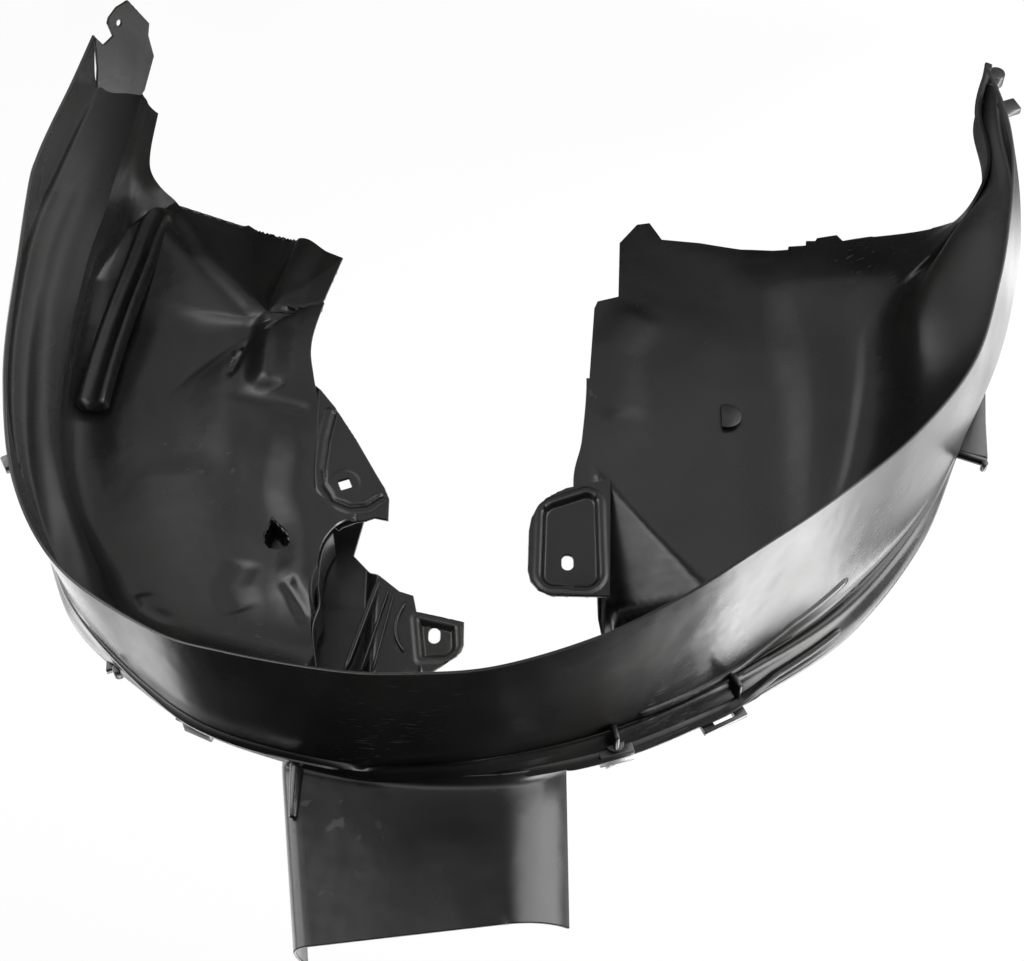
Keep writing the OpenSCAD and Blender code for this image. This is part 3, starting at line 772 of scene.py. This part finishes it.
def wing_depth(x, z):
    """A groove with a raised rim round the pad, and a shallow round dish about the hole."""
    groove, _ = off_path(x, z, WING_GROOVE)
    rim, _ = off_path(x, z, WING_RIM)
    seam, _ = off_path(x, z, [(125, 22), (125, 60), (124, 100), (122, 130), (112, 152), (99, 166)])
    dish = np.hypot(x - 97, z - 123)
    return (WALL_PLANE + 1.8 * raised(groove, 0.6, 3) - 0.9 * raised(rim, 0.4, 3.4)
            + 0.6 * raised(dish, 12, 14) + 2.4 * raised(seam, 0, 4))


WING_HOLE = turned_square(96, 123, 9, 20)
tab_piece("rear_wing", WING, [WING_HOLE], wing_depth, 2.8, 1.7)
WING_CUT = [(119, 34), (119, 100), (117, 127), (107, 143), (97, 156), (85, 156), (50, 150), (50, 100),
            (100, 20)]
apply_boolean(sheet_piece, drawn_out("wing_cut", WING_CUT, 170, 198))

REAR_TAB = ([(124, 100), (84, 126), (82, 137), (89, 168), (71, 188), (51, 206), (40, 210), (37, 225),
             (0, 234)] + arc(18, 252, 18, 190, 115, 4)
            + [(21, 276), (30, 283), (40, 288), (46, 306), (124, 306)])
REAR_DISH = [(37, 230), (6, 238)] + arc(16, 255, 11, 190, 100, 4) + [(33, 267)]


def rear_tab_depth(x, z):
    falling = ease((x - 68) / 10) * 0.11 * np.clip(z - 96, 0, 128)
    return np.minimum(DEEPEST_PATCH, DEEP_PANEL + dished(x, z, REAR_DISH, 1.0) + falling)


REAR_SLOT = slot_outline(23, 244, 9, 14)
tab_piece("rear_tab", REAR_TAB, [REAR_SLOT], rear_tab_depth)
keep_piece(sheet_piece)


# Upper panel
#
# A flat panel rises from the crown. Its foot curves into the strip, its rear side curls back tightly
# and its front side sweeps back in a wide arc.
STRIP_RADIUS, STRIP_BACK, FOOT = 423, 103, 9
PANEL_HEIGHT, PANEL_RAKE, PANEL_PIVOT = 103, 0.11, -75


def panel_plan():
    tight_curl = arc(110, 111, 8, 0, -90, 9)
    level = [(x, 103) for x in range(105, -32, -5)]
    wide_curl = arc(-29, 163, 60, -90, -138, 16)
    return np.array([(112, 134), (115, 127), (117, 120)] + tight_curl + level + wide_curl, float)


def upper_panel():
    plan = panel_plan()
    side, depth = plan[:, 0], plan[:, 1]
    foot = np.sqrt((STRIP_RADIUS - 0.8 * np.maximum(0, depth - STRIP_BACK)) ** 2 - side ** 2)
    top = STRIP_RADIUS + PANEL_HEIGHT + PANEL_RAKE * side
    rows = []
    for a in range(10, 91, 10):
        turn = math.radians(a)
        rows.append(np.stack([side, depth - FOOT * (1 - math.sin(turn)),
                              foot + FOOT * (1 - math.cos(turn)) - 2.2], -1))
    for k in range(1, 29):
        up = k / 28
        rows.append(np.stack([PANEL_PIVOT + (side - PANEL_PIVOT) * (1 - 0.085 * up), depth,
                              foot + FOOT + up * (top - foot - FOOT)], -1))
    keep_piece(grid_piece("upper_panel", np.array(rows), turned_over=True))


upper_panel()


# Tip plate
#
# The rear leg ends in a thin plate that lies on the body behind it. A screw through its round hole
# fixes it, and the notches in its edge leave a small hook at its side. It is one with the sheet.
def unit(vector):
    vector = np.asarray(vector, float)
    return vector / np.linalg.norm(vector)


TIP_CORNER = np.array([317, 66, -214])
TIP_ALONG = unit([-0.257, -0.697, -0.67])
TIP_ACROSS = unit(np.cross(np.cross(TIP_ALONG, [-0.546, 0.677, -0.494]), TIP_ALONG))
TIP_NORMAL = np.cross(TIP_ALONG, TIP_ACROSS)
TIP_OUTLINE = [(-9, 5), (8, 1), (34, -10), (29, 2), (38, 10), (47, 1), (52, 1), (62, 7), (70, 18),
               (56, 48), (46, 50), (30, 62), (-1, 60), (-10, 54)]
TIP_HOLE = arc(50, 13.5, 2.75, 0, 348.75, 31)


def tip_plate():
    found, triangles = flat_patch(TIP_OUTLINE, [TIP_HOLE], 2)
    a, b = found[:, 0], found[:, 1]
    points = (TIP_CORNER + a[:, None] * TIP_ALONG + b[:, None] * TIP_ACROSS)
    keep_piece(make_piece("tip_plate", *closed_wall(points, triangles, 2.6)))


tip_plate()


# Rails and cross ribs
#
# Two low rails run round the outside of the strip and stiffen it, with short cross ribs between
# them and the crown. They are moulded on, with sloping sides so that they leave the mould.
def rib_tree():
    """A node tree that draws a section along the object's edges, scaled at each point."""
    tree = bpy.data.node_groups.new("rib_along_path", "GeometryNodeTree")
    tree.interface.new_socket("Path", in_out="INPUT", socket_type="NodeSocketGeometry")
    drawn = tree.interface.new_socket("Section", in_out="INPUT", socket_type="NodeSocketObject")
    finish = tree.interface.new_socket("Finish", in_out="INPUT", socket_type="NodeSocketMaterial")
    tree.interface.new_socket("Rib", in_out="OUTPUT", socket_type="NodeSocketGeometry")
    given = wired(tree, "NodeGroupInput", {}).outputs
    path = wired(tree, "GeometryNodeMeshToCurve", {"Mesh": given["Path"]})
    up = wired(tree, "GeometryNodeInputNamedAttribute", {"Name": "up"}, data_type="FLOAT_VECTOR")
    size = wired(tree, "GeometryNodeInputNamedAttribute", {"Name": "size"}, data_type="FLOAT")
    standing = wired(tree, "GeometryNodeSetCurveNormal", {
        "Curve": path.outputs["Curve"], "Normal": up.outputs["Attribute"]}, mode="FREE")
    section = wired(tree, "GeometryNodeObjectInfo", {"Object": given["Section"]})
    outline = wired(tree, "GeometryNodeMeshToCurve", {"Mesh": section.outputs["Geometry"]})
    rib = wired(tree, "GeometryNodeCurveToMesh", {
        "Fill Caps": True, "Curve": standing.outputs["Curve"],
        "Profile Curve": outline.outputs["Curve"], "Scale": size.outputs["Attribute"]})
    finished = wired(tree, "GeometryNodeSetMaterial", {"Geometry": rib.outputs["Mesh"],
                                                       "Material": given["Finish"]})
    real = wired(tree, "GeometryNodeRealizeInstances", {"Geometry": finished.outputs["Geometry"]})
    wired(tree, "NodeGroupOutput", {"Rib": real.outputs["Geometry"]})
    return tree, drawn.identifier, finish.identifier


RIB_TREE, RIB_SECTION, RIB_FINISH = rib_tree()


def outward_mesh(mesh, sharp=40):
    work = bmesh.new()
    work.from_mesh(mesh)
    bmesh.ops.remove_doubles(work, verts=work.verts, dist=1e-6)
    bmesh.ops.recalc_face_normals(work, faces=work.faces)
    if work.calc_volume(signed=True) < 0:
        bmesh.ops.reverse_faces(work, faces=work.faces)
    work.to_mesh(mesh)
    work.free()
    mesh.shade_smooth()
    mesh.set_sharp_from_angle(angle=math.radians(sharp))
    return mesh


def rail_section(foot, top, height, sunk=1.2, radius=1.0):
    """Half-rounded trapezoid as (across, height) points, whose foot is sunk in the sheet."""
    slope = math.degrees(math.atan2(height + sunk, (foot - top) / 2))
    right = [(top / 2 - radius + radius * math.cos(math.radians(a)),
              height - radius + radius * math.sin(math.radians(a)))
             for a in np.linspace(90 - slope, 90, 4)]
    left = [(-across, h) for across, h in reversed(right)]
    return [(foot / 2, -sunk)] + right + left + [(-foot / 2, -sunk)]


def on_sheet(places):
    """Points of the sheet and the directions away from the tyre, at a list of (u, v)."""
    points, standing = [], []
    for u, v in places:
        patch = bare_sheet(np.array([u - 0.02, u, u + 0.02]), np.array([v - 0.02, v, v + 0.02]))
        points.append(patch[1, 1])
        standing.append(normals_of(patch)[1, 1])
    return np.array(points), np.array(standing)


def rib_along(name, points, up, sizes, section):
    """One closed rib on the given points; the sizes scale its section towards its ends."""
    drawn = bpy.data.meshes.new(name + "_section")
    drawn.from_pydata([(h * 0.001, across * 0.001, 0) for across, h in section],
                      [(i, (i + 1) % len(section)) for i in range(len(section))], [])
    shape = bpy.data.objects.new(name + "_section", drawn)
    scene.collection.objects.link(shape)
    mesh = bpy.data.meshes.new(name + "_path")
    mesh.from_pydata(to_frame(points).tolist(), [(i, i + 1) for i in range(len(points) - 1)], [])
    mesh.attributes.new("up", "FLOAT_VECTOR", "POINT").data.foreach_set("vector", np.ravel(up))
    mesh.attributes.new("size", "FLOAT", "POINT").data.foreach_set("value", np.array(sizes, float))
    holder = bpy.data.objects.new(name + "_path", mesh)
    scene.collection.objects.link(holder)
    modifier = holder.modifiers.new("rib", "NODES")
    modifier.node_group = RIB_TREE
    modifier[RIB_SECTION] = shape
    modifier[RIB_FINISH] = plastic
    solid = bpy.data.meshes.new_from_object(holder.evaluated_get(bpy.context.evaluated_depsgraph_get()))
    bpy.data.objects.remove(holder)
    bpy.data.objects.remove(shape)
    piece = bpy.data.objects.new(name, outward_mesh(solid))
    scene.collection.objects.link(piece)
    return piece


def ends(count, closing=(0.3, 0.75, 0.93)):
    sizes = np.ones(count)
    for i, value in enumerate(closing):
        sizes[i] = sizes[-1 - i] = value
    return sizes


def strip_rail(name, path, foot, top, height):
    """A rail on the strip through the given (u, v) places, with short sloping ends."""
    path = np.array(path, float)
    spots = np.concatenate([[0, 0.006, 0.015], np.linspace(0.03, 0.97, 70), [0.985, 0.994, 1]])
    reach = np.linspace(0, 1, len(path))
    places = [(np.interp(t, reach, path[:, 0]), np.interp(t, reach, path[:, 1])) for t in spots]
    points, up = on_sheet(places)
    keep_piece(rib_along(name, points, up, ends(len(spots)), rail_section(foot, top, height)))


for name, path in (
        ("strip_rail_outer", [(7.8, 1.0), (8.5, 1.05), (9.2, 1.25), (9.9, 1.2), (10.6, 1.12)]),
        ("strip_rail_inner", [(8.1, 2.35), (8.85, 2.45), (9.6, 2.9), (10.5, 3.0), (11.4, 3.0)])):
    strip_rail(name, path, 7, 4, 3)


def at_arch(points, angle, radius, depth):
    """Places points on the arch: x along it, y inboard and z outwards."""
    points = np.asarray(points, float)
    c, s = math.cos(math.radians(angle)), math.sin(math.radians(angle))
    x, y, z = points[..., 0], points[..., 1], points[..., 2] + radius
    return np.stack([x * c + z * s, y + depth, z * c - x * s], -1)


RIB_REACH = (-11, -10.6, -10, -6, 0, 6, 10, 10.6, 11)
for name, angle, radius in (("cross_rib_outer", -28, 405), ("cross_rib_inner", -15, 411)):
    places = at_arch([(0, depth, 0) for depth in RIB_REACH], angle, radius, 91)
    away = at_arch([(0, 0, 1)], angle, 0, 0).repeat(9, axis=0)
    keep_piece(rib_along(name, places, away, ends(9), rail_section(4.4, 3.2, 6, 6, 1.4)))


# On the rear wall runs one wide rail with two ridges, closed in a round at both ends.
CHANNEL_PATH = [(270, 183, -172), (278, 183, -150), (286, 183, -105), (294, 182, -60), (301, 182, -15),
                (306, 182, 30), (308, 184, 50)]
HALF_CHANNEL = [(-14, -2), (-13.4, 0), (-12, 4.6), (-10.4, 6.8), (-8.6, 7.6), (-6.8, 7.4), (-5, 6.2),
                (-3, 5.2)]
CHANNEL_SECTION = HALF_CHANNEL + [(0, 4.8)] + [(-across, h) for across, h in HALF_CHANNEL[::-1]]
TOWARD_TYRE = [0.0, -1.0, 0.0]
keep_piece(rib_along("rear_wall_channel", smooth_path(CHANNEL_PATH, 60), np.tile(TOWARD_TYRE, (60, 1)),
                     ends(60, (0.35, 0.68, 0.86, 0.96)), CHANNEL_SECTION))

# Three narrow ribs run down the deep panel, and a short bent one stands beside its tab.
for name, path, foot, height in (
        ("deep_panel_rib_1", [(67, 195), (90, 277)], 6, 3),
        ("deep_panel_rib_2", [(59, 204), (78, 278)], 4, 2.4),
        ("deep_panel_rib_3", [(55, 207), (69, 278)], 4, 2.4),
        ("deep_panel_rib_4", [(46, 216), (52, 232), (52, 247), (46, 261)], 5, 2.4)):
    flat = smooth_path([(x, 0, z) for x, z in path], 30)
    flat[:, 1] = DEEP_PANEL - 1.5
    keep_piece(rib_along(name, flat, np.tile(TOWARD_TYRE, (30, 1)), ends(30),
                         rail_section(foot, foot - 2.4, height)))


# Lugs, bracket and peg
#
# Small lugs on the outside of the strip take clips and screws of the wing and the bumper: a gusset,
# a box with an end plate, a boss with star ribs and a slotted lug. All are moulded on.
def block(name, outline, low, high, place, bevel=0.8):
    """A solid drawn out from a local outline, with rounded edges."""
    piece = drawn_out(name, outline, low, high, place)
    if bevel:
        work = bmesh.new()
        work.from_mesh(piece.data)
        edges = [e for e in work.edges if e.calc_face_angle(0) > math.radians(30)]
        bmesh.ops.bevel(work, geom=edges, offset=bevel * 0.001, segments=2, profile=0.5, affect="EDGES",
                        clamp_overlap=True)
        work.to_mesh(piece.data)
        work.free()
    outward_mesh(piece.data)
    return piece


def turned(name, profile, place, steps=32):
    """A turned solid about the local z axis, from a profile of (radius, height)."""
    local = [(r * math.cos(2 * math.pi * i / steps), r * math.sin(2 * math.pi * i / steps), h)
             for r, h in profile for i in range(steps)]
    rows = len(profile)
    faces = [(r * steps + i, r * steps + (i + 1) % steps, (r + 1) * steps + (i + 1) % steps,
              (r + 1) * steps + i) for r in range(rows - 1) for i in range(steps)]
    faces += [tuple(range(steps))[::-1], tuple(range((rows - 1) * steps, rows * steps))]
    piece = make_piece(name, place(local), faces)
    outward_mesh(piece.data)
    return piece


def circle(x, z, radius, steps=28):
    return arc(x, z, radius, 0, 360 * (steps - 1) / steps, steps - 1)


def rectangle(x, z, width, height):
    return [(x - width / 2, z - height / 2), (x + width / 2, z - height / 2),
            (x + width / 2, z + height / 2), (x - width / 2, z + height / 2)]


def on_arch(angle, radius, depth):
    return lambda points: at_arch(points, angle, radius, depth)


def joined(pieces):
    """Welds closed solids into the first of them."""
    first = pieces[0]
    for other in pieces[1:]:
        apply_boolean(first, other, "UNION")
    return first


place = on_arch(36.5, 402, 108)
keep_piece(joined([block("gusset_lug", [(-12, -1), (12, -1), (-2, 15)], -3, 3, place),
                   block("gusset_barrel", circle(-8, 9, 4), -5, 5, place, 0.6)]))
place = on_arch(25, 415, 108)
keep_piece(joined([block("box_lug", rectangle(0, 0, 22, 16), -6, 6, place),
                   block("box_lug_end", rectangle(0, 1, 32, 14), -8.25, -5.75, place, 0.6),
                   block("box_lug_nub", circle(6, 3, 2), -11.5, -6.5, place, 0.4)]))
place = on_arch(-15, 411, 106)
keep_piece(joined([block("boss_lug", rectangle(0, 0, 24, 16), -7, 7, place),
                   block("boss_lug_round", circle(0, 0, 6.5), -10, -6, place, 0.6)]))
place = on_arch(-26, 412, 108)
slotted = block("slotted_lug", rectangle(0, 0, 34, 16), -2.5, 2.5, place)
apply_boolean(slotted, block("slot_cut", rectangle(0, 3, 16, 5), -3.5, 3.5, place, 0))
keep_piece(slotted)

BRACKET = [(-77.5, 412), (-73, 416), (-68.5, 424), (-68, 394), (-77.5, 398)]
keep_piece(joined([
    block("bracket", [(polar(a, r, 0)[0], polar(a, r, 0)[2]) for a, r in BRACKET], 102, 106,
          as_drawn, 1.0),
    turned("bracket_roll", [(3, -15), (3.5, -14.4), (3.5, 14.4), (3, 15)], on_arch(-68, 409, 104)),
    block("bracket_nub", circle(0, 0, 2.5), -4.5, 4.5, on_arch(-67.5, 423, 104), 0.5)]))
keep_piece(block("front_tip_disc", circle(-446, -214, 7.5), 59.5, 72.5, as_drawn, 1.2))
keep_piece(block("front_tip_lug", rectangle(0, 0, 14, 16), -3.5, 3.5, on_arch(-111.5, 486, 66), 1.2))
keep_piece(block("rear_leg_clip", rectangle(0, 0, 12, 12), -4, 4, on_arch(62.5, 375, 84), 1.2))


PEG_PROFILE = [(4.5, 0), (4.5, 1), (4.1, 10), (3.6, 20), (3.1, 30), (2.5, 41), (2.1, 42)]
keep_piece(turned("tapered_peg", PEG_PROFILE, lambda points: np.array(points) + [108, 99, 408]))
half_circle = arc(0, 0, 12, 65.4, 294.6, 24)
keep_piece(block("lobe_pad", [(-213 + x, 54 + z) for x, z in half_circle], 184, 189, as_drawn, 1.0))
